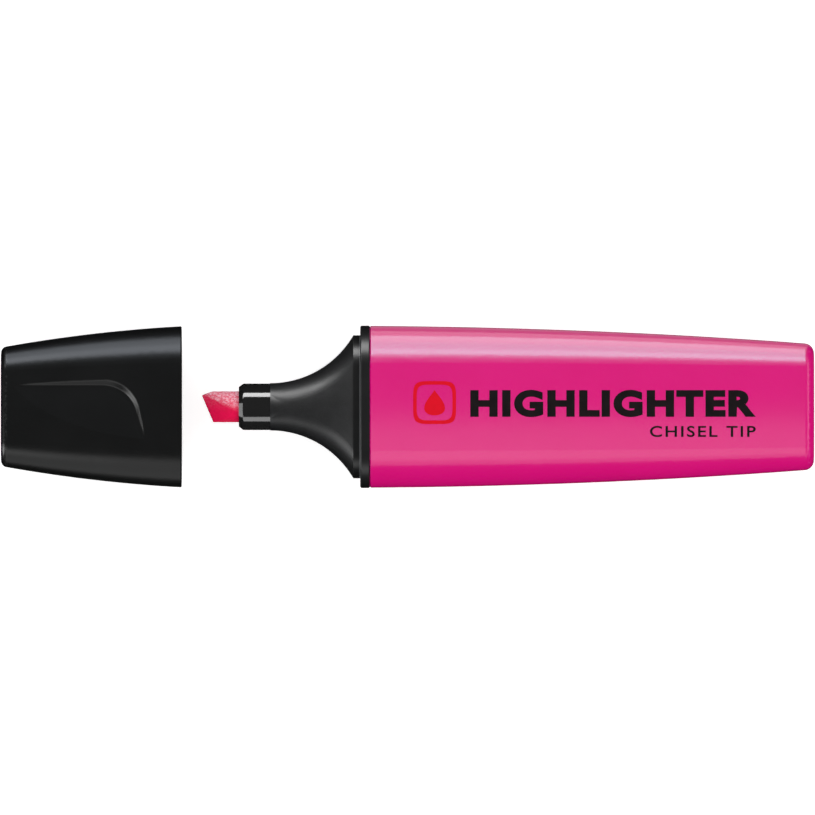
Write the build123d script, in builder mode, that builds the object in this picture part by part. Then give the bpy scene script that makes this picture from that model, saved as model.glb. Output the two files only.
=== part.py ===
from build123d import *
import math
import os

# A flat-bodied chisel-tip highlighter, with its cap pulled off and lying in line ahead of the nib.
#
# X runs along the pen, +X towards the tail. Y is across the broad faces and Z is up through them.
# The origin is the centre of the flat tail face. Every length is in millimetres.

# ---------------------------------------------------------------- driving dimensions

barrel_length = 73.5
barrel_front_size = (26.8, 17.0)  # width in Y, thickness in Z
barrel_tail_size = (20.8, 11.8)
barrel_corner_radii = (6.5, 3.9)  # of the four long edges, at the front and at the tail
barrel_straight_share = 0.14  # how much of the taper is straight; the rest bends in to the tail
barrel_wall = 1.5
tail_edge_radius = 1.6

collar_length = 1.6
collar_size = (26.9, 17.1)
spigot_length = 1.15
spigot_size = (23.7, 13.7)
spigot_corner_radius = 5.0
cone_length = 13.75
cone_nose_diameter = 7.85
cone_wall = 1.7

ferrule_diameter = 7.71
ferrule_stem_radius = 3.5
ferrule_reach = 5.2  # what shows of it ahead of the cone
ferrule_insert = 10.0  # what sits inside the cone
nib_diameter = 5.0
nib_reach = 6.05  # from the ferrule's front to the nib's tip

reservoir_diameter = 10.0
reservoir_length = 60.0
film_thickness = 0.12

cap_length = 29.85
cap_mouth_size = (26.7, 16.9)
cap_end_size = (19.7, 12.0)
cap_corner_radii = (6.4, 4.2)
cap_straight_share = 0.47
cap_side_wall = 1.35
cap_face_wall = 2.1  # thicker behind the broad faces, which carry the thumb recesses
cap_end_wall = 1.4
cap_end_edge_radius = 1.0
cap_lift = 29.6  # how far the cap stands ahead of its seat on the collar

side_crown = 0.045  # bulge of the narrow sides, as a share of half the width
face_crown = 0.085  # bulge of the broad faces, as a share of half the thickness
gap = 0.05  # between pieces that slide or drop into each other
seam_chamfer = 0.18
collar_rim_radius = 0.3
cap_mouth_chamfer = 0.1

# ---------------------------------------------------------------- stations along the pen

tail_x = 0.0
barrel_front_x = tail_x - barrel_length
seat_x = barrel_front_x - collar_length  # the collar's front face, where the cap's mouth stops
spigot_front_x = seat_x - spigot_length
cone_nose_x = spigot_front_x - cone_length
ferrule_front_x = cone_nose_x - ferrule_reach
ferrule_back_x = cone_nose_x + ferrule_insert
nib_tip_x = ferrule_front_x - nib_reach
reservoir_front_x = spigot_front_x + 0.8
reservoir_back_x = reservoir_front_x + reservoir_length
cap_mouth_x = seat_x - cap_lift


def across(x):
    """The plane that cuts straight across the pen at x, facing the tail."""
    return Plane(origin=(x, 0, 0), x_dir=(0, 1, 0), z_dir=(1, 0, 0))


def between(start, end, share):
    return start + (end - start) * share


def taper(ends, straight_share, share):
    """A size that runs from the first of ends to the second along a shallow arc."""
    return between(ends[0], ends[1], straight_share * share + (1 - straight_share) * share**2)


def tapered_size(front_size, back_size, straight_share, share):
    """Width and thickness at a share of the way from the front size to the back size."""
    return [taper(ends, straight_share, share) for ends in zip(front_size, back_size)]


def body_section(x, width, thickness, corner_radius, crowns=(side_crown, face_crown)):
    """A rounded rectangle across the pen at x, its four sides gently crowned."""
    corner_y = width / 2 * (1 - crowns[0])
    corner_z = thickness / 2 * (1 - crowns[1])
    with BuildSketch(across(x)) as section:
        with BuildLine():
            ThreePointArc((-corner_y, corner_z), (0, thickness / 2), (corner_y, corner_z))
            ThreePointArc((corner_y, corner_z), (width / 2, 0), (corner_y, -corner_z))
            ThreePointArc((corner_y, -corner_z), (0, -thickness / 2), (-corner_y, -corner_z))
            ThreePointArc((-corner_y, -corner_z), (-width / 2, 0), (-corner_y, corner_z))
        make_face()
        fillet(section.vertices(), corner_radius)
    return section.sketch


def round_section(x, outer_radius, inner_radius=0.0):
    """A disc, or a ring, across the pen at x."""
    with BuildSketch(across(x)) as section:
        Circle(outer_radius)
        if inner_radius > 0:
            Circle(inner_radius, mode=Mode.SUBTRACT)
    return section.sketch


# ---------------------------------------------------------------- barrel

barrel_shares = [0, 1 / 6, 1 / 3, 1 / 2, 2 / 3, 5 / 6, 1]
cavity_end_x = tail_x - barrel_wall
socket_size = (24.0, 14.2)  # straight mouth that takes the front section's skirt
socket_corner_radius = 5.3
socket_depth = 8.0
snap_x = barrel_front_x + 4.6  # the middle of the snap bead and of the groove it clicks into
snap_height = 0.25
snap_half_length = 0.7
rib_thickness = 1.1
rib_length = 26.0
rib_clear_width = 11.0  # between the two long ribs that centre the reservoir
stop_length = cavity_end_x - reservoir_back_x - gap
inside_height = 30.0  # taller than the cavity anywhere


def barrel_section(share, inset):
    """The barrel's section at a share of its length from the front, drawn in by inset."""
    width, thickness = tapered_size(barrel_front_size, barrel_tail_size, barrel_straight_share, share)
    radius = taper(barrel_corner_radii, barrel_straight_share, share)
    x = between(barrel_front_x, tail_x, share)
    return body_section(x, width - 2 * inset, thickness - 2 * inset, radius - inset)


def snap_ring(height, half_length):
    """The three sections of a low ridge round the skirt, raised by height in the middle."""
    sections = []
    for step, rise in ((-1, 0), (0, height), (1, 0)):
        width = socket_size[0] - 2 * gap + 2 * rise
        thickness = socket_size[1] - 2 * gap + 2 * rise
        x = snap_x + step * half_length
        sections.append(body_section(x, width, thickness, socket_corner_radius))
    return sections


with BuildPart() as barrel_cavity:
    loft([barrel_section(share, barrel_wall) for share in barrel_shares])
    split(bisect_by=across(cavity_end_x), keep=Keep.BOTTOM)
    # The two long ribs and the end stop are what the cavity leaves standing.
    with Locations((cavity_end_x - rib_length / 2, 0, 0)):
        with GridLocations(1, rib_clear_width + rib_thickness, 1, 2):
            Box(rib_length, rib_thickness, inside_height, mode=Mode.SUBTRACT)
    with Locations((cavity_end_x - stop_length / 2, 0, 0)):
        Box(stop_length, rib_thickness, inside_height, mode=Mode.SUBTRACT)

with BuildPart() as barrel:
    loft([barrel_section(share, 0) for share in barrel_shares])
    fillet(barrel.faces().sort_by(Axis.X)[-1].edges(), tail_edge_radius)
    chamfer(barrel.faces().sort_by(Axis.X)[0].edges(), seam_chamfer)
    add(barrel_cavity.part, mode=Mode.SUBTRACT)
    socket = body_section(barrel_front_x, *socket_size, socket_corner_radius)
    extrude(socket, amount=socket_depth, mode=Mode.SUBTRACT)
    groove = snap_ring(snap_height + 2 * gap, snap_half_length + gap)
    loft(groove, ruled=True, mode=Mode.SUBTRACT)
barrel.part.label = "barrel"

# ---------------------------------------------------------------- front section

skirt_length = 7.6
skirt_wall = 1.2
skirt_size = (socket_size[0] - 2 * gap, socket_size[1] - 2 * gap)
hollow_size = (skirt_size[0] - 2 * skirt_wall, skirt_size[1] - 2 * skirt_wall)
hollow_length = spigot_length + collar_length + skirt_length
cone_shares = [0, 0.2, 0.4, 0.6, 0.75, 0.88, 1]
pocket_shares = [0.8, 0.87, 0.94, 1]  # the part of the cone that is hollow
nose_crown = 0.285  # bulge at the nose, where the section is almost a circle
nose_corner_radius = 3.6
holder_radius = reservoir_diameter / 2 + film_thickness + 2 * gap  # inside of the reservoir holder
holder_wall = 1.0
holder_setback = 1.0  # from the skirt's back end to the holder's
holder_lip_radius = 4.0
stem_hole_radius = nib_diameter / 2 + 0.2
stem_hole_length = 3.0


def flare(start, end, share):
    """A half-size that leaves start parallel to the pen and curves out to end on an arc."""
    rise = end - start
    radius = (cone_length**2 + rise**2) / (2 * rise)
    return start + radius - math.sqrt(radius**2 - (share * cone_length) ** 2)


def cone_section(share, inset):
    """The cone's section at a share of its length from the nose, drawn in by inset."""
    half_width = flare(cone_nose_diameter / 2, spigot_size[0] / 2, share) - inset
    half_thickness = flare(cone_nose_diameter / 2, spigot_size[1] / 2, share) - inset
    radius = between(nose_corner_radius, spigot_corner_radius, share) - inset
    crowns = (between(nose_crown, side_crown, share), between(nose_crown, face_crown, share))
    x = between(cone_nose_x, spigot_front_x, share)
    return body_section(x, 2 * half_width, 2 * half_thickness, radius, crowns)


with BuildPart() as collar:
    extrude(body_section(seat_x, *collar_size, barrel_corner_radii[0]), amount=collar_length)
    chamfer(collar.faces().sort_by(Axis.X)[-1].edges(), seam_chamfer)
    fillet(collar.faces().sort_by(Axis.X)[0].edges(), collar_rim_radius)

with BuildPart() as front_section:
    loft([cone_section(share, 0) for share in cone_shares])
    spigot = body_section(spigot_front_x, *spigot_size, spigot_corner_radius)
    extrude(spigot, amount=spigot_length)
    add(collar.part)
    skirt = body_section(barrel_front_x, *skirt_size, socket_corner_radius)
    extrude(skirt, amount=skirt_length)
    loft(snap_ring(snap_height, snap_half_length), ruled=True)
    # The hollow runs from inside the cone to the skirt's open back end.
    loft([cone_section(share, cone_wall) for share in pocket_shares], mode=Mode.SUBTRACT)
    hollow = body_section(spigot_front_x, *hollow_size, socket_corner_radius - skirt_wall)
    extrude(hollow, amount=hollow_length, mode=Mode.SUBTRACT)
    # A tube with a front lip holds the reservoir's end on the axis.
    holder = round_section(spigot_front_x, holder_radius + holder_wall, holder_radius)
    extrude(holder, amount=hollow_length - holder_setback)
    lip = round_section(spigot_front_x, holder_radius + holder_wall, holder_lip_radius)
    extrude(lip, amount=reservoir_front_x - gap - spigot_front_x)
    # The nose is bored for the ferrule, with a smaller hole for the nib's stem behind it.
    ferrule_bore = round_section(cone_nose_x, ferrule_stem_radius + gap)
    extrude(ferrule_bore, amount=ferrule_insert + gap, mode=Mode.SUBTRACT)
    stem_hole = round_section(ferrule_back_x, stem_hole_radius)
    extrude(stem_hole, amount=stem_hole_length, mode=Mode.SUBTRACT)
front_section.part.label = "front_section"

# ---------------------------------------------------------------- ferrule

nib_bore_radius = nib_diameter / 2 + 0.03
front_ring_radius = 3.3  # outside of the flat ring round the nib
shoulder_length = 0.75  # the slope from that ring to the full diameter
shoulder_radius = 0.4
ferrule_back_chamfer = 0.3

with BuildPart() as nib_ferrule:
    with BuildSketch(Plane.XZ) as ferrule_profile:
        with BuildLine():
            Polyline(
                (ferrule_front_x, nib_bore_radius),
                (ferrule_front_x, front_ring_radius),
                (ferrule_front_x + shoulder_length, ferrule_diameter / 2),
                (cone_nose_x, ferrule_diameter / 2),
                (cone_nose_x, ferrule_stem_radius),
                (ferrule_back_x, ferrule_stem_radius),
                (ferrule_back_x, nib_bore_radius),
                close=True,
            )
        make_face()
        shoulder = ferrule_profile.vertices().sort_by(Axis.X)[2]
        fillet(shoulder, shoulder_radius)
        back_rim = ferrule_profile.vertices().sort_by(Axis.X)[-2:].sort_by(Axis.Y)[-1]
        chamfer(back_rim, ferrule_back_chamfer)
    revolve(axis=Axis.X)
nib_ferrule.part.label = "nib_ferrule"

# ---------------------------------------------------------------- nib

nib_slant = 23.0  # degrees the chisel edge leans back from straight across
nib_edge_thickness = 1.1
nib_bevel = 27  # degrees each bevel rises from the edge
nib_tip_y = 1.87
nib_shoulder = 20.9  # degrees the short flank beside the tip leans from straight along the pen
stem_end_x = reservoir_front_x + 7.0
stem_end_radius = 0.6
stem_point_length = 1.6

slant = math.radians(nib_slant)
edge_direction = Vector(math.sin(slant), -math.cos(slant), 0)
edge_back = Vector(math.cos(slant), math.sin(slant), 0)  # square to the edge, towards the tail
edge_point = Vector(nib_tip_x, nib_tip_y, 0)


def bevel_plane(side):
    """The plane of the upper (side 1) or lower (side -1) bevel, facing away from the nib."""
    rise = math.radians(nib_bevel)
    outwards = Vector(0, 0, side)
    start = edge_point + outwards * (nib_edge_thickness / 2)
    normal = outwards * math.cos(rise) - edge_back * math.sin(rise)
    return Plane(origin=start, x_dir=edge_direction, z_dir=normal)


flank = math.radians(nib_shoulder)
tip_flank = Plane(origin=edge_point, x_dir=(0, 0, 1), z_dir=(-math.sin(flank), math.cos(flank), 0))

with BuildPart() as nib:
    extrude(round_section(nib_tip_x, nib_diameter / 2), amount=stem_end_x - nib_tip_x)
    stem_end = nib.edges().sort_by(Axis.X)[-1]
    chamfer(stem_end, nib_diameter / 2 - stem_end_radius, stem_point_length)
    split(bisect_by=Plane(origin=edge_point, x_dir=(0, 0, 1), z_dir=edge_back), keep=Keep.TOP)
    for side in (1, -1):
        split(bisect_by=bevel_plane(side), keep=Keep.BOTTOM)
    split(bisect_by=tip_flank, keep=Keep.BOTTOM)
nib.part.label = "nib"

# ---------------------------------------------------------------- reservoir and its film

film_inside_radius = reservoir_diameter / 2 + 0.03

with BuildPart() as reservoir:
    extrude(round_section(reservoir_front_x, reservoir_diameter / 2), amount=reservoir_length)
    stem_bore = round_section(reservoir_front_x, nib_bore_radius)
    extrude(stem_bore, amount=stem_end_x + gap - reservoir_front_x, mode=Mode.SUBTRACT)
reservoir.part.label = "reservoir"

with BuildPart() as reservoir_sleeve:
    film = round_section(reservoir_front_x, film_inside_radius + film_thickness, film_inside_radius)
    extrude(film, amount=reservoir_length)
reservoir_sleeve.part.label = "reservoir_sleeve"

# ---------------------------------------------------------------- cap

cap_shares = [0, 0.25, 0.5, 0.75, 1]
cap_inside_share = 1 - cap_end_wall / cap_length
cap_inside_end_x = cap_mouth_x - cap_length + cap_end_wall
spigot_socket_size = (spigot_size[0] + 4 * gap, spigot_size[1] + 4 * gap)
spigot_socket_depth = spigot_length + 2.0  # deep enough to clear the cone's widest part too
inner_cap_radius = 4.6
inner_cap_ring_wall = 1.0
inner_cap_ring_height = 6.4

# Each thumb recess has a flat floor that runs out at one long edge and at the closed end.
# Its deepest point is the floor's corner nearest the mouth.
recess_corner_depth = 8.7  # from the mouth
recess_corner_y = 3.6
recess_corner_radius = 5.8
recess_depth = 0.95
recess_fall = 0.046  # how fast the floor falls towards the closed end
recess_rise = 0.096  # how fast the floor rises towards the long edge where it runs out
recess_skew = math.radians(17.4)  # how far the wall nearest the mouth leans from straight across
recess_wall_slope = 42  # degrees the walls lean out from upright
recess_cut_height = 4.0
recess_edge_radius = 0.5


def cap_section(share, side_inset=0.0, face_inset=0.0):
    """The cap's section at a share of its length from the mouth, drawn in by the insets."""
    width, thickness = tapered_size(cap_mouth_size, cap_end_size, cap_straight_share, share)
    radius = taper(cap_corner_radii, cap_straight_share, share) - (side_inset + face_inset) / 2
    x = cap_mouth_x - share * cap_length
    return body_section(x, width - 2 * side_inset, thickness - 2 * face_inset, radius)


def recess_floor_plane():
    """The plane of the upper recess's floor, its origin at the floor's deepest corner."""
    share = recess_corner_depth / cap_length
    thickness = tapered_size(cap_mouth_size, cap_end_size, cap_straight_share, share)[1]
    corner = (cap_mouth_x - recess_corner_depth, recess_corner_y, thickness / 2 - recess_depth)
    return Plane(origin=corner, x_dir=(1, 0, recess_fall), z_dir=(-recess_fall, recess_rise, 1))


with BuildPart() as recess_cutter:
    with BuildSketch(recess_floor_plane()) as recess_outline:
        with BuildLine():
            run = cap_length  # carries the outline past the closed end and past the long edge
            Polyline((-run, 0), (0, 0), (run * math.tan(recess_skew), -run), (-run, -run), close=True)
        make_face()
        deepest = recess_outline.vertices().sort_by_distance((0, 0, 0))[0]
        fillet(deepest, recess_corner_radius)
    extrude(amount=recess_cut_height, taper=-recess_wall_slope)

with BuildPart() as cap:
    loft([cap_section(share) for share in cap_shares])
    fillet(cap.faces().sort_by(Axis.X)[0].edges(), cap_end_edge_radius)
    chamfer(cap.faces().sort_by(Axis.X)[-1].edges(), cap_mouth_chamfer)
    for turn in (0, 180):
        add(recess_cutter.part, rotation=(turn, 0, 0), mode=Mode.SUBTRACT)
        fillet(cap.edges(Select.LAST), recess_edge_radius)
    inside_shares = [share * cap_inside_share for share in cap_shares]
    inside = [cap_section(share, cap_side_wall, cap_face_wall) for share in inside_shares]
    loft(inside, mode=Mode.SUBTRACT)
    # The mouth is widened to drop over the spigot.
    spigot_socket = body_section(cap_mouth_x, *spigot_socket_size, spigot_corner_radius)
    extrude(spigot_socket, amount=-spigot_socket_depth, mode=Mode.SUBTRACT)
    # A ring stands up from the closed end to hold the inner cap.
    bore_radius = inner_cap_radius + gap
    extrude(round_section(cap_inside_end_x, bore_radius + inner_cap_ring_wall), amount=inner_cap_ring_height)
    extrude(round_section(cap_inside_end_x, bore_radius), amount=inner_cap_ring_height, mode=Mode.SUBTRACT)
cap.part.label = "cap"

# ---------------------------------------------------------------- inner cap

seal_radius = ferrule_diameter / 2 + gap
seal_length = 5.0
seal_mouth_x = cap_mouth_x - (seat_x - cone_nose_x) - 0.6  # just clears the cone's nose when closed
seal_back_x = seal_mouth_x - seal_length
well_radius = 3.4  # the narrower well round the nib itself
inner_cap_end_x = cap_inside_end_x + gap
inner_cap_floor = 0.9
lead_in = 0.4

with BuildPart() as inner_cap:
    with BuildSketch(Plane.XZ):
        with BuildLine():
            Polyline(
                (inner_cap_end_x, 0),
                (inner_cap_end_x, inner_cap_radius),
                (seal_mouth_x, inner_cap_radius),
                (seal_mouth_x, seal_radius + lead_in),
                (seal_mouth_x - lead_in, seal_radius),
                (seal_back_x, seal_radius),
                (seal_back_x - lead_in, well_radius),
                (inner_cap_end_x + inner_cap_floor, well_radius),
                (inner_cap_end_x + inner_cap_floor, 0),
                close=True,
            )
        make_face()
    revolve(axis=Axis.X)
inner_cap.part.label = "inner_cap"

# ---------------------------------------------------------------- write each piece

os.makedirs("parts", exist_ok=True)
export_step(barrel.part, "parts/barrel.step")
export_step(front_section.part, "parts/front_section.step")
export_step(nib_ferrule.part, "parts/nib_ferrule.step")
export_step(nib.part, "parts/nib.step")
export_step(reservoir.part, "parts/reservoir.step")
export_step(reservoir_sleeve.part, "parts/reservoir_sleeve.step")
export_step(cap.part, "parts/cap.step")
export_step(inner_cap.part, "parts/inner_cap.step")
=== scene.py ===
import math

import bmesh
import bpy
from mathutils import Matrix, Vector, noise
from mathutils.bvhtree import BVHTree


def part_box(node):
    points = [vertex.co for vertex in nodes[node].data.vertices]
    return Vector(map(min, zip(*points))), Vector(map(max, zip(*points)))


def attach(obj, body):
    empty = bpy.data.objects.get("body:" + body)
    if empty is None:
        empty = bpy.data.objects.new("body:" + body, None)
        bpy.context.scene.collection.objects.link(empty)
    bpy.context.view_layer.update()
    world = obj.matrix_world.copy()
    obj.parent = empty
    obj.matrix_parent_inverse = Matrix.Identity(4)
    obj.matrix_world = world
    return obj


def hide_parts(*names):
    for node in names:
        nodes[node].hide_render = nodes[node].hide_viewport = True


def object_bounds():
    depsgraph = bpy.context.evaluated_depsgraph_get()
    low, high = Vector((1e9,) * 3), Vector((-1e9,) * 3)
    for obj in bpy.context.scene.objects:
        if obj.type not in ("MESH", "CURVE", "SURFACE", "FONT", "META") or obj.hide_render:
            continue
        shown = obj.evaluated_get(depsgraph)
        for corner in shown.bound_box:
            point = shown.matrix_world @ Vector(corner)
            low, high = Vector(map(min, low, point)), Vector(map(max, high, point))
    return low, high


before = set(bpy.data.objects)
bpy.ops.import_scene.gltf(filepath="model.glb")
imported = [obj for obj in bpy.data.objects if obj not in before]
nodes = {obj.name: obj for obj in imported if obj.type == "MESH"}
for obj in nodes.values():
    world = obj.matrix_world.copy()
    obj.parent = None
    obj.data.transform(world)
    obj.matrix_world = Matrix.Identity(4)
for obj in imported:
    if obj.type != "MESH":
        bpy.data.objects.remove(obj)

# A flat-bodied chisel-tip highlighter with its cap off. X runs along the pen towards the tail,
# Y across its broad faces and Z up through them. The frame is in metres.

MM = 0.001
PICTURE_SIZE = 815  # pixels along each side
cad_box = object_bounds()
scene = bpy.context.scene
low, high = cad_box
centre = (low + high) / 2
barrel_low, barrel_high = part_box("barrel")
cap_low, cap_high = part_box("cap")
nib_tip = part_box("nib")[0].x
COLLAR_LENGTH = 1.6 * MM
SPIGOT_LENGTH = 1.15 * MM
collar_x = barrel_low.x - COLLAR_LENGTH  # where the spigot ends and the collar begins
spigot_x = collar_x - SPIGOT_LENGTH  # where the cone ends and the spigot begins
PLASTIC_IOR = 1.49

# ---------------------------------------------------------------- shader helpers


def colour(red, green, blue):
    """An sRGB colour out of 255 as a linear RGBA."""
    def linear(value):
        value = value / 255
        return value / 12.92 if value <= 0.04045 else ((value + 0.055) / 1.055) ** 2.4
    return (linear(red), linear(green), linear(blue), 1.0)


class Shader:
    """A material's node tree with a short way to add and wire nodes."""

    def __init__(self, name):
        self.material = bpy.data.materials.new(name)
        self.material.use_nodes = True
        self.tree = self.material.node_tree
        self.tree.nodes.clear()
        self.output = self.node("ShaderNodeOutputMaterial")
        self.coords = self.node("ShaderNodeTexCoord").outputs["Object"]
        self.place = self.node("ShaderNodeSeparateXYZ", Vector=self.coords)

    def node(self, kind, settings=None, **inputs):
        made = self.tree.nodes.new(kind)
        for key, value in (settings or {}).items():
            setattr(made, key, value)
        for key, value in inputs.items():
            self.put(made, key.replace("_", " "), value)
        return made

    def put(self, target, key, value):
        socket = target.inputs[key]
        if isinstance(value, bpy.types.NodeSocket):
            self.tree.links.new(value, socket)
        else:
            socket.default_value = value

    def math(self, operation, first, second=0.0, third=0.0):
        made = self.node("ShaderNodeMath", {"operation": operation})
        for index, value in enumerate((first, second, third)):
            self.put(made, index, value)
        return made.outputs[0]

    def noise(self, per_mm, detail=2.0, stretch=(1, 1, 1), roughness=0.5):
        """Fractal noise with per_mm features in a millimetre, around 0.5."""
        scale = [per_mm / MM * s for s in stretch]
        scaled = self.node("ShaderNodeMapping", Vector=self.coords, Scale=scale)
        made = self.node("ShaderNodeTexNoise", Vector=scaled.outputs["Vector"], Scale=1.0,
                         Detail=detail, Roughness=roughness)
        return made.outputs["Fac"]

    def remap(self, value, from_low, from_high, to_low=0.0, to_high=1.0, smooth=False):
        """value carried from one range to another and held at its ends."""
        kind = {"interpolation_type": "SMOOTHSTEP"} if smooth else None
        made = self.node("ShaderNodeMapRange", kind, Value=value, From_Min=from_low,
                         From_Max=from_high, To_Min=to_low, To_Max=to_high)
        return made.outputs["Result"]

    def near(self, x, reach_mm):
        """1 at a station along the pen, falling to 0 within reach."""
        away = self.math("ABSOLUTE", self.math("SUBTRACT", self.place.outputs["X"], x))
        return self.remap(away, 0.0, reach_mm * MM, 1.0, 0.0, smooth=True)

    def mix(self, factor, first, second):
        """first where factor is 0 and second where it is 1; both are colours."""
        made = self.node("ShaderNodeMix", {"data_type": "RGBA"})
        factor_socket, first_socket, second_socket, colour_output = 0, 6, 7, 2
        self.put(made, factor_socket, factor)
        self.put(made, first_socket, first)
        self.put(made, second_socket, second)
        return made.outputs[colour_output]

    def bump(self, height, depth_mm, normal=None):
        made = self.node("ShaderNodeBump", Height=height, Distance=depth_mm * MM, Strength=1.0)
        if normal is not None:
            self.put(made, "Normal", normal)
        return made.outputs["Normal"]

    def principled(self, **inputs):
        self.bsdf = self.node("ShaderNodeBsdfPrincipled", **inputs)
        self.tree.links.new(self.bsdf.outputs["BSDF"], self.output.inputs["Surface"])
        return self.material


# ---------------------------------------------------------------- materials


def moulded(name, base, shade, roughness, wear_and_highlight_at=(), wear_and_highlight_tone=None, peel_mm=0.001,
            grain_mm=0.0, subsurface=0.0):
    """Injection-moulded plastic: a faint mottle, soft flow smears, fine rubbed hairlines and lightened
    rims.

    The rims are listed as stations along the pen. There the skin is lightened towards a lighter rim
    tone and made glossier, which paints a highlight line where a rounded edge catches the light.
    peel_mm is the depth of the skin's slow waves and grain_mm that of its spark-eroded grain.
    """
    smear_spread = 0.01
    hairline_roughness = 0.03
    rim_reach_mm = 0.35
    rim_polish = 0.08
    s = Shader(name)
    mottle = s.remap(s.noise(per_mm=0.12, detail=2), 0.35, 0.65)
    tone = s.mix(mottle, base, shade)
    smear = s.noise(per_mm=0.08, detail=1, stretch=(0.4, 1, 1))
    rough = s.remap(smear, 0.3, 0.7, roughness - smear_spread, roughness + smear_spread)
    hairline = s.remap(s.noise(per_mm=6.0, detail=2, stretch=(0.02, 1, 1)), 0.6, 0.8)
    rough = s.math("MULTIPLY_ADD", hairline, hairline_roughness, rough)
    if wear_and_highlight_at:
        wear_and_highlight = 0.0
        for x in wear_and_highlight_at:
            wear_and_highlight = s.math("MAXIMUM", wear_and_highlight, s.near(x, rim_reach_mm))
        broken = s.remap(s.noise(per_mm=1.6, detail=5), 0.48, 0.62)
        wear_and_highlight = s.math("MULTIPLY", wear_and_highlight, broken)
        # painted highlight: the listed rims are lightened towards the rim tone, like light caught on a
        # rounded edge
        tone = s.mix(s.math("MULTIPLY", wear_and_highlight, 0.5), tone, wear_and_highlight_tone)
        rough = s.math("MULTIPLY_ADD", wear_and_highlight, -rim_polish, rough)
    normal = s.bump(s.noise(per_mm=0.5, detail=1), peel_mm)
    if grain_mm:
        normal = s.bump(s.noise(per_mm=2.5, detail=3, roughness=0.6), grain_mm, normal)
    material = s.principled(Base_Color=tone, Roughness=rough, Normal=normal, IOR=PLASTIC_IOR)
    if subsurface:
        s.put(s.bsdf, "Subsurface Weight", subsurface)
        s.put(s.bsdf, "Subsurface Radius", (1.0, 0.3, 0.45))
        s.put(s.bsdf, "Subsurface Scale", 1.0 * MM)
    return material


def cone_plastic(name):
    """The front section's black: a fine matte grain on the cone, smoother from the spigot back, and a
    painted highlight line along the collar's front edge.
    """
    cone_extra_roughness = 0.06
    collar_highlight_mm = 0.2
    s = Shader(name)
    on_cone = s.remap(s.place.outputs["X"], spigot_x - 0.3 * MM, spigot_x + 0.1 * MM, 1.0, 0.0)
    mottle = s.remap(s.noise(per_mm=0.5, detail=5), 0.3, 0.7)
    grey = s.mix(mottle, colour(25, 26, 27), colour(30, 31, 33))
    black = s.mix(mottle, colour(20, 21, 22), colour(24, 25, 26))
    speck = s.remap(s.noise(per_mm=5.0, detail=4, roughness=0.7), 0.5, 0.75)
    grey = s.mix(s.math("MULTIPLY", speck, 0.3), grey, colour(62, 64, 66))
    tone = s.mix(on_cone, black, grey)
    # painted highlight: a thin light grey line along the collar's front edge, as where the edge catches
    # the light; kept off the flat front face
    geometry = s.node("ShaderNodeNewGeometry")
    facing = s.node("ShaderNodeSeparateXYZ", Vector=geometry.outputs["True Normal"])
    off_front_face = s.remap(facing.outputs["X"], -0.8, -0.4)
    collar_painted_highlight = s.math("MULTIPLY", s.near(collar_x, collar_highlight_mm), off_front_face)
    tone = s.mix(collar_painted_highlight, tone, colour(112, 114, 117))
    smear = s.remap(s.noise(per_mm=0.4, detail=4), 0.3, 0.7, 0.31, 0.35)
    rough = s.math("MULTIPLY_ADD", on_cone, cone_extra_roughness, smear)
    grain = s.math("MULTIPLY", s.noise(per_mm=4.5, detail=4, roughness=0.65), on_cone)
    waves = s.bump(s.noise(per_mm=0.8), depth_mm=0.001)
    normal = s.bump(grain, depth_mm=0.008, normal=waves)
    return s.principled(Base_Color=tone, Roughness=rough, Normal=normal, IOR=PLASTIC_IOR)


def felt(name, deep, painted_sheen_tone):
    """Pressed polyester fibre with a painted sheen: its frayed flecks are painted pale on the upper
    flank, where the light falls, and kept saturated towards the chisel cut, which faces away from the
    light.
    """
    cut_slope = 0.545  # the chisel cut, as Y per X
    cut_edge = cut_slope * nib_tip + 2.35 * MM
    s = Shader(name)
    along, across = s.place.outputs["X"], s.place.outputs["Y"]
    # painted sheen: paler towards +Y, the lit side, and fading out towards the chisel cut, which the
    # light misses
    painted_sheen_side = s.remap(across, -1.15 * MM, 1.75 * MM, 0.0, 1.0, smooth=True)
    beyond_cut = s.math("MULTIPLY_ADD", along, cut_slope, across)
    sheen_away_from_cut = s.remap(beyond_cut, cut_edge - 0.3 * MM, cut_edge + 0.25 * MM, 0.1, 1.0)
    fibre = s.noise(per_mm=3.4, detail=5, stretch=(0.7, 1, 1), roughness=0.75)
    fleck = s.remap(fibre, 0.46, 0.58, 0.25, 1.0)
    painted_sheen = s.math("MULTIPLY", s.math("MULTIPLY", painted_sheen_side, sheen_away_from_cut), fleck)
    body = s.mix(s.remap(s.noise(per_mm=1.2, detail=3), 0.35, 0.65), deep, colour(236, 2, 78))
    tone = s.mix(painted_sheen, body, painted_sheen_tone)
    rough = s.remap(fibre, 0.3, 0.7, 0.7, 0.9)
    lint = s.bump(s.noise(per_mm=7.0, detail=3, stretch=(0.3, 1, 1)), depth_mm=0.012)
    normal = s.bump(fibre, depth_mm=0.035, normal=lint)
    return s.principled(Base_Color=tone, Roughness=rough, Normal=normal, IOR=1.4,
                        Specular_IOR_Level=0.15, Sheen_Weight=0.06, Sheen_Roughness=0.4)


def clear_film(name):
    """The reservoir's thin wrapping film, faintly creased along its length."""
    s = Shader(name)
    crease = s.noise(per_mm=0.8, detail=4, stretch=(0.08, 1, 1))
    tone = s.mix(s.noise(per_mm=0.1), colour(236, 240, 241), colour(244, 245, 243))
    return s.principled(Base_Color=tone, Roughness=s.remap(crease, 0.3, 0.7, 0.08, 0.2), IOR=1.57,
                        Normal=s.bump(crease, depth_mm=0.02), Alpha=0.35)


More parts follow.
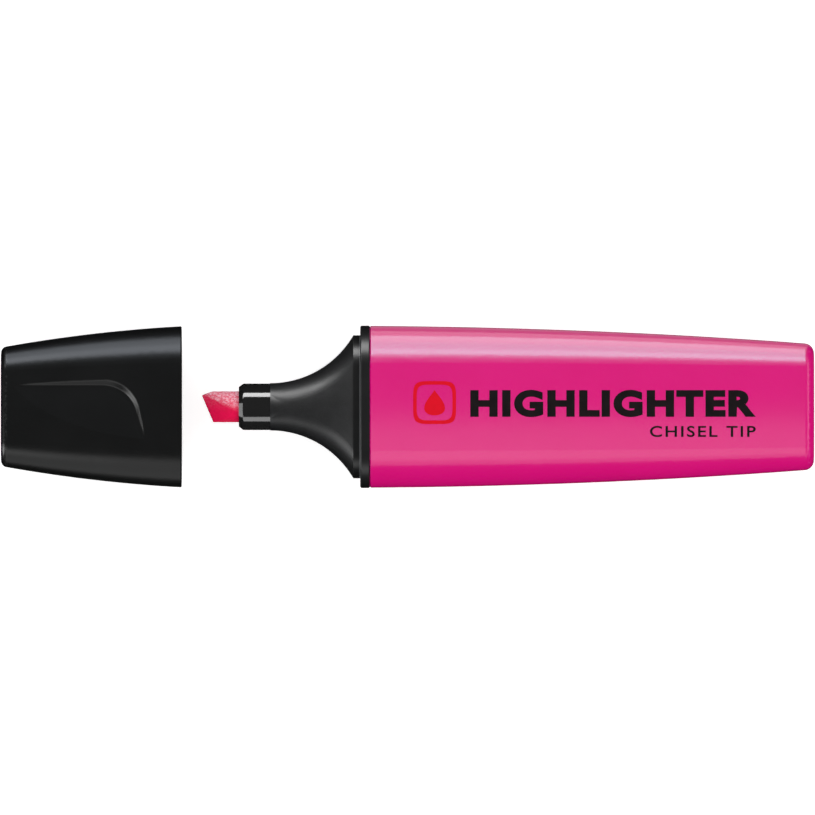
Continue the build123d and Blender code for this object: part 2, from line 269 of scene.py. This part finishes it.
def ink(name, base, shade):
    """Pad-printed ink: nearly even, with a finely uneven skin that is duller than the plastic."""
    s = Shader(name)
    tone = s.mix(s.remap(s.noise(per_mm=0.6, detail=4), 0.35, 0.65), base, shade)
    rough = s.remap(s.noise(per_mm=3.0, detail=4), 0.3, 0.7, 0.36, 0.46)
    normal = s.bump(s.noise(per_mm=6.0, detail=2), depth_mm=0.002)
    return s.principled(Base_Color=tone, Roughness=rough, Normal=normal, IOR=1.45,
                        Specular_IOR_Level=0.12)


def assign(piece, material):
    piece.data.materials.clear()
    piece.data.materials.append(material)


# Rim stations where the plastic is lightened: on the barrel, its front rim and a painted highlight line
# just inside its rounded tail edge; on the cap, a painted highlight line just inside its closed end's
# rounded edge.
barrel_rims = (barrel_low.x, barrel_high.x - 0.8 * MM)
cap_highlight_line_at = (cap_low.x + 0.85 * MM,)
assign(nodes["barrel"], moulded(
    "pink_plastic", colour(213, 2, 118), colour(211, 1, 116), roughness=0.18, subsurface=0.1,
    wear_and_highlight_at=barrel_rims, wear_and_highlight_tone=colour(224, 60, 146)))
assign(nodes["cap"], moulded(
    "cap_black", colour(13, 14, 14), colour(16, 17, 17), roughness=0.3, grain_mm=0.0015,
    wear_and_highlight_at=cap_highlight_line_at, wear_and_highlight_tone=colour(54, 56, 55)))
assign(nodes["front_section"], cone_plastic("front_black"))
assign(nodes["nib_ferrule"], moulded(
    "gloss_black", colour(27, 27, 27), colour(30, 30, 30), roughness=0.09, peel_mm=0.0006))
assign(nodes["inner_cap"], moulded(
    "natural_plastic", colour(226, 223, 212), colour(216, 212, 200), roughness=0.34, subsurface=0.4))
assign(nodes["reservoir_sleeve"], clear_film("clear_film"))

# ---------------------------------------------------------------- felt pieces


def bake(piece):
    """Applies the piece's modifiers to its mesh."""
    graph = bpy.context.evaluated_depsgraph_get()
    mesh = bpy.data.meshes.new_from_object(piece.evaluated_get(graph))
    piece.modifiers.clear()
    piece.data = mesh


def fibre_piece(name, node, material, cell_mm, swell_mm, depth_mm, streaks_per_mm, drawn_out):
    """A fibre copy of a CAD solid: remeshed, swollen a little, then pressed in by uneven streaks.

    drawn_out is how many times as often the streaks vary along the pen as across it.
    """
    fractal_increment, lacunarity, octaves = 0.8, 2.1, 3
    piece = bpy.data.objects.new(name, nodes[node].data.copy())
    scene.collection.objects.link(piece)
    piece.data.transform(Matrix.Scale(1 / MM, 4))
    remesh = piece.modifiers.new("cells", "REMESH")
    remesh.mode = "VOXEL"
    remesh.voxel_size = cell_mm
    soften = piece.modifiers.new("soften", "SMOOTH")
    soften.iterations = 1
    bake(piece)
    mesh = piece.data
    offsets = []
    for vertex in mesh.vertices:
        at = Vector((vertex.co.x * drawn_out, vertex.co.y, vertex.co.z)) * streaks_per_mm
        streak = 0.5 + 0.5 * noise.fractal(at, fractal_increment, lacunarity, octaves)
        offsets.append(vertex.normal * (swell_mm - depth_mm * min(1.0, max(0.0, streak))))
    for vertex, offset in zip(mesh.vertices, offsets):
        vertex.co += offset
    mesh.transform(Matrix.Scale(MM, 4))
    mesh.shade_smooth()
    assign(piece, material)
    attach(piece, "pen")
    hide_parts(node)
    return piece


# The second colour is the painted sheen's pale tone, on the fibres' lit upper flank.
nib_felt = fibre_piece(
    "nib_felt", "nib", felt("nib_felt", colour(228, 2, 72), colour(252, 196, 210)),
    cell_mm=0.075, swell_mm=0.085, depth_mm=0.06, streaks_per_mm=2.8, drawn_out=0.4)
fibre_piece(
    "reservoir_wick", "reservoir",
    felt("wick_fibre", colour(216, 24, 108), colour(238, 140, 185)),
    cell_mm=0.3, swell_mm=0.0, depth_mm=0.2, streaks_per_mm=1.1, drawn_out=0.06)

# ---------------------------------------------------------------- print on the barrel

INK_PROUD = 0.02 * MM
INK_THICKNESS = 0.07 * MM
PRINT_CELL = 0.9 * MM
INK_CREASE = math.radians(40)  # edges sharper than this stay crisp
RAY_START = 1.0  # metres above the pen, where rays that look for the barrel's face start
barrel_tree = BVHTree.FromObject(nodes["barrel"], bpy.context.evaluated_depsgraph_get())


def drape(name, mesh, material):
    """Cuts a flat outline into small cells, lays it on the barrel's upper face and thickens it."""
    shape = bmesh.new()
    shape.from_mesh(mesh)
    bmesh.ops.remove_doubles(shape, verts=shape.verts, dist=0.002 * MM)
    for axis, direction in enumerate((Vector((1, 0, 0)), Vector((0, 1, 0)))):
        reach = [vertex.co[axis] for vertex in shape.verts]
        first, last = math.floor(min(reach) / PRINT_CELL) + 1, math.ceil(max(reach) / PRINT_CELL)
        for step in range(first, last):
            everything = shape.verts[:] + shape.edges[:] + shape.faces[:]
            bmesh.ops.bisect_plane(shape, geom=everything, dist=0.0005 * MM,
                                   plane_co=direction * step * PRINT_CELL, plane_no=direction)
    bmesh.ops.triangulate(shape, faces=shape.faces)
    for vertex in shape.verts:
        start = Vector((vertex.co.x, vertex.co.y, RAY_START))
        place = barrel_tree.ray_cast(start, Vector((0, 0, -1)))[0]
        vertex.co.z = place.z + INK_PROUD
    for face in shape.faces:
        if face.normal.z < 0:
            face.normal_flip()
    laid = bpy.data.meshes.new(name)
    shape.to_mesh(laid)
    shape.free()
    piece = bpy.data.objects.new(name, laid)
    scene.collection.objects.link(piece)
    solid = piece.modifiers.new("thickness", "SOLIDIFY")
    solid.thickness = INK_THICKNESS
    solid.offset = -1
    bake(piece)
    piece.data.shade_smooth()
    piece.data.set_sharp_from_angle(angle=INK_CREASE)
    assign(piece, material)
    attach(piece, "pen")
    return piece


def flat_mesh(curve):
    """A filled curve or text as a flat mesh."""
    carrier = bpy.data.objects.new(curve.name, curve)
    scene.collection.objects.link(carrier)
    graph = bpy.context.evaluated_depsgraph_get()
    mesh = bpy.data.meshes.new_from_object(carrier.evaluated_get(graph))
    bpy.data.objects.remove(carrier)
    return mesh


def word(name, text, material, start, end, foot, height, weight, spacing):
    """Lettering from start to end along the pen in mm, standing on foot in Y.

    weight thickens the strokes, in ems, and spacing spreads the letters.
    """
    curve = bpy.data.curves.new(name, "FONT")
    curve.body = text
    curve.size = 1.0
    curve.offset = weight
    curve.space_character = spacing
    curve.resolution_u = 6
    mesh = flat_mesh(curve)
    across = [[vertex.co[axis] for vertex in mesh.vertices] for axis in (0, 1)]
    spans = [(min(values), max(values)) for values in across]
    targets = ((start * MM, end * MM), (foot * MM, (foot + height) * MM))
    for vertex in mesh.vertices:
        for axis in (0, 1):
            share = (vertex.co[axis] - spans[axis][0]) / (spans[axis][1] - spans[axis][0])
            vertex.co[axis] = targets[axis][0] + share * (targets[axis][1] - targets[axis][0])
    return drape(name, mesh, material)


def outline(curve, points):
    """Adds a closed outline to a flat curve."""
    spline = curve.splines.new("POLY")
    spline.points.add(len(points) - 1)
    for made, (x, y) in zip(spline.points, points):
        made.co = (x, y, 0, 1)
    spline.use_cyclic_u = True


def rounded_square(half, count=72, squareness=5):
    """A square with generously rounded corners: |x|^n + |y|^n = half^n."""
    points = []
    for index in range(count):
        angle = 2 * math.pi * index / count
        x, y = math.cos(angle), math.sin(angle)
        reach = half / (abs(x) ** squareness + abs(y) ** squareness) ** (1 / squareness)
        points.append((x * reach, y * reach))
    return points


def ink_drop(radius, count=48):
    """A drop of ink with its point upwards."""
    fullness, pointedness = 1.15, 1.5
    points = []
    for index in range(count):
        angle = 2 * math.pi * index / count
        taper = math.sin(angle / 2) ** pointedness
        points.append((radius * math.sin(angle) * taper * fullness, radius * math.cos(angle)))
    return points


def emblem(name, material, at, half, line):
    """A plain ink drop in a rounded frame, half its width from side to middle; lengths in mm."""
    drop_share = 0.6
    curve = bpy.data.curves.new(name, "CURVE")
    curve.dimensions = "2D"
    curve.fill_mode = "BOTH"
    frame_outside = rounded_square(half * MM)
    frame_inside = rounded_square((half - line) * MM)
    drop = ink_drop(half * drop_share * MM)
    for points in (frame_outside, frame_inside, drop):
        outline(curve, [(x + at[0] * MM, y + at[1] * MM) for x, y in points])
    return drape(name, flat_mesh(curve), material)


black_ink = ink("black_ink", colour(26, 20, 23), colour(31, 24, 27))
red_ink = ink("red_ink", colour(214, 0, 30), colour(208, 0, 28))
word("print_type_name", "HIGHLIGHTER", black_ink,
     start=-56.9, end=-9.7, foot=-1.7, height=4.5, weight=0.056, spacing=1.15)
word("print_tip_name", "CHISEL TIP", black_ink,
     start=-27.2, end=-9.7, foot=-5.0, height=1.85, weight=0.014, spacing=1.2)
emblem("print_drop_mark", red_ink, at=(-62.8, 0.7), half=3.55, line=0.6)

# ---------------------------------------------------------------- studio

FLOOR_GAP = 0.02 * MM
FLOOR_SIZE = 10  # metres
LIGHT_DISTANCE = 0.6  # metres from the pen's middle
on_barrel = [nodes["barrel"]]
on_front = [nodes["front_section"], nib_felt]
on_ferrule = [nodes["nib_ferrule"]]
on_cap = [nodes["cap"], nodes["inner_cap"]]
WHITE = (1, 1, 1)
PINK_SHEEN = (0.3, 1, 1)  # keeps the pink barrel's brightest band a pale pink
SIDE_SHEEN = (0.6, 1, 1)  # the same for the band beside it
BLACK_SHEEN = (0.94, 1, 1.1)  # the black cap's sheen is a cool grey
UPPER, LOWER = 1, -1  # sides of the pen in the picture: +Y and -Y
NIB_END, TAIL_END = -1, 1
LONG_STRIP, CAP_STRIP, BARREL_STRIP = 1.6, 0.7, 0.5  # metres along the pen


def collection_of(name, members):
    """A collection that only says which pieces a light reaches."""
    group = bpy.data.collections.new(name)
    for member in members:
        group.objects.link(member)
    return group


def panel(name, radiance, size, place, lit, tint=WHITE, aim=centre):
    """A soft box at place facing aim, mirrored only in the pieces in lit.

    radiance is how many times as bright it is as white paper in full light.
    """
    data = bpy.data.lights.new(name, "AREA")
    data.shape = "RECTANGLE"
    data.size, data.size_y = size
    data.energy = radiance * math.pi * size[0] * size[1]
    data.color = tint
    light = bpy.data.objects.new(name, data)
    scene.collection.objects.link(light)
    light.location = place
    light.rotation_mode = "QUATERNION"
    light.rotation_quaternion = (aim - place).to_track_quat("-Z", "Y")
    light.visible_camera = False
    light.visible_diffuse = False
    light.light_linking.receiver_collection = collection_of(name + "_receivers", lit)


def width_across(angle):
    """How wide a soft box at LIGHT_DISTANCE is when it spans angle degrees."""
    return 2 * LIGHT_DISTANCE * math.tan(math.radians(angle) / 2)


def strip(name, lit, side, radiance, start, stop, length=LONG_STRIP, tint=WHITE):
    """A long soft box beside the pen, on its UPPER or LOWER side in the picture.

    It spans the angles from start to stop, in degrees from straight up.
    """
    middle = math.radians((start + stop) / 2)
    width = width_across(stop - start)
    place = centre + Vector((0, side * math.sin(middle), math.cos(middle))) * LIGHT_DISTANCE
    panel(name, radiance, (length, width), place, lit, tint)


def end_panel(name, lit, end, radiance, azimuth, elevation, spread, rise):
    """A soft box beyond the NIB_END or the TAIL_END, turned azimuth degrees towards -Y.

    elevation, spread and rise are in degrees, as seen from the pen's middle.
    """
    turn, lift = math.radians(azimuth), math.radians(elevation)
    direction = Vector((end * math.cos(turn) * math.cos(lift),
                        -math.sin(turn) * math.cos(lift),
                        math.sin(lift)))
    size = (width_across(spread), width_across(rise))
    panel(name, radiance, size, centre + direction * LIGHT_DISTANCE, lit)


def build_floor():
    """A plain white floor just under the pen, kept out of its reflections and shading."""
    own_glow = 0.5  # lifts it to plain white around the pen's soft contact shadow
    place = (centre.x, 0, low.z - FLOOR_GAP)
    bpy.ops.mesh.primitive_plane_add(size=FLOOR_SIZE, location=place)
    floor = bpy.context.object
    floor.name = "floor"
    s = Shader("floor_paper")
    tone = s.mix(s.noise(per_mm=0.01, detail=4), colour(250, 250, 250), colour(253, 253, 252))
    assign(floor, s.principled(Base_Color=tone, Roughness=0.9,
                               Emission_Color=tone, Emission_Strength=own_glow))
    floor.visible_glossy = False
    floor.visible_diffuse = False
    floor.visible_shadow = False


def build_world():
    """White behind everything; an overcast dome for matte shading; a dim room in reflections."""
    world = bpy.data.worlds.new("studio")
    scene.world = world
    world.use_nodes = True
    world.cycles.sampling_method = "NONE"  # so that the dome below is only met by matte rays
    tree = world.node_tree
    tree.nodes.clear()
    path = tree.nodes.new("ShaderNodeLightPath")
    place = tree.nodes.new("ShaderNodeTexCoord")
    split = tree.nodes.new("ShaderNodeSeparateXYZ")
    tree.links.new(place.outputs["Generated"], split.inputs[0])

    def backdrop(from_z, low_strength, high_strength):
        """White light that grows from low_strength at from_z and below to high_strength overhead."""
        rising = tree.nodes.new("ShaderNodeMapRange")
        rising.inputs["From Min"].default_value = from_z
        rising.inputs["To Min"].default_value = low_strength
        rising.inputs["To Max"].default_value = high_strength
        tree.links.new(split.outputs["Z"], rising.inputs["Value"])
        background = tree.nodes.new("ShaderNodeBackground")
        background.inputs["Color"].default_value = (1, 1, 1, 1)
        tree.links.new(rising.outputs["Result"], background.inputs["Strength"])
        return background

    def choose(ray, otherwise, chosen):
        """chosen for rays of the kind named by ray, else otherwise."""
        mix = tree.nodes.new("ShaderNodeMixShader")
        tree.links.new(path.outputs[ray], mix.inputs[0])
        tree.links.new(otherwise.outputs[0], mix.inputs[1])
        tree.links.new(chosen.outputs[0], mix.inputs[2])
        return mix

    room = backdrop(0.3, 0.01, 0.06)
    dome = backdrop(0.0, 0.66, 1.35)
    plain_white = backdrop(0.0, 1.0, 1.0)
    surface = choose("Is Camera Ray", choose("Is Diffuse Ray", room, dome), plain_white)
    output = tree.nodes.new("ShaderNodeOutputWorld")
    tree.links.new(surface.outputs[0], output.inputs["Surface"])


def build_camera():
    """Straight above the pen, from far enough away that its edges show no perspective."""
    side_margin = 1.3  # pixels of white beyond each end of the pen
    rise = 0.7  # pixels the pen lies above the middle of the picture
    data = bpy.data.cameras.new("camera")
    data.lens = 1000
    data.sensor_width = 36
    data.clip_end = 10
    camera = bpy.data.objects.new("camera", data)
    scene.collection.objects.link(camera)
    scene.camera = camera
    field = (high.x - low.x) * PICTURE_SIZE / (PICTURE_SIZE - 2 * side_margin)
    camera.location = (centre.x, -rise * field / PICTURE_SIZE, field * data.lens / data.sensor_width)


build_floor()
build_world()
build_camera()
scene.view_settings.view_transform = "Standard"
scene.view_settings.look = "None"

# Per strip: the pieces it is mirrored in, its side, radiance, and the angles where it starts and stops.
strip("ferrule_key", on_ferrule, UPPER, 16.5, 51, 73)
strip("ferrule_fill", on_ferrule, LOWER, 5, 52, 77)
strip("front_key", on_front, UPPER, 8.2, 41, 71)
strip("front_fill", on_front, LOWER, 1.35, 49, 78)
strip("cap_key_edge", on_cap, UPPER, 2.4, 64, 91, CAP_STRIP, BLACK_SHEEN)
strip("cap_key", on_cap, UPPER, 3.9, 40, 64, CAP_STRIP, BLACK_SHEEN)
strip("cap_fill", on_cap, LOWER, 0.72, 33, 107, CAP_STRIP)
strip("barrel_key_fade", on_barrel, UPPER, 1.3, 15, 24, BARREL_STRIP, PINK_SHEEN)
strip("barrel_key_edge", on_barrel, UPPER, 4, 24, 33, BARREL_STRIP, PINK_SHEEN)
strip("barrel_key", on_barrel, UPPER, 10.8, 33, 50, BARREL_STRIP, PINK_SHEEN)
strip("barrel_key_upper", on_barrel, UPPER, 7.8, 50, 72, BARREL_STRIP, PINK_SHEEN)
strip("barrel_side", on_barrel, UPPER, 7.4, 72, 97, BARREL_STRIP, SIDE_SHEEN)
strip("barrel_low_side", on_barrel, UPPER, 2.3, 97, 120, BARREL_STRIP)
strip("barrel_under", on_barrel, UPPER, 0.5, 120, 160, BARREL_STRIP)
strip("barrel_wash_edge", on_barrel, LOWER, 1.35, 2.5, 9, BARREL_STRIP)
strip("barrel_wash", on_barrel, LOWER, 2, 9, 38, BARREL_STRIP)
strip("barrel_wash_low", on_barrel, LOWER, 1.3, 38, 52, BARREL_STRIP)
end_panel("nose_panel", on_front, NIB_END, 3.5, azimuth=16, elevation=12, spread=30, rise=34)
end_panel("recess_panel", on_cap, NIB_END, 5.5, azimuth=25, elevation=12, spread=24, rise=34)
# A small card in the gap ahead of the nib puts the grey patch on the ferrule's front slope.
card_place = Vector((cap_high.x + 0.4 * MM, -2.5 * MM, 5.1 * MM))
card_size = (10.4 * MM, 4 * MM)
panel("ferrule_card", 4.5, card_size, card_place, on_ferrule, aim=card_place + Vector((1, 0, 0)))
end_panel("tail_panel", on_barrel, TAIL_END, 2.4, azimuth=0, elevation=42, spread=40, rise=14)
for azimuth in (45, -45):
    for end in (NIB_END, TAIL_END):
        end_panel("corner_panel", on_barrel + on_cap, end, 1.0,
                  azimuth=azimuth, elevation=36, spread=34, rise=18)
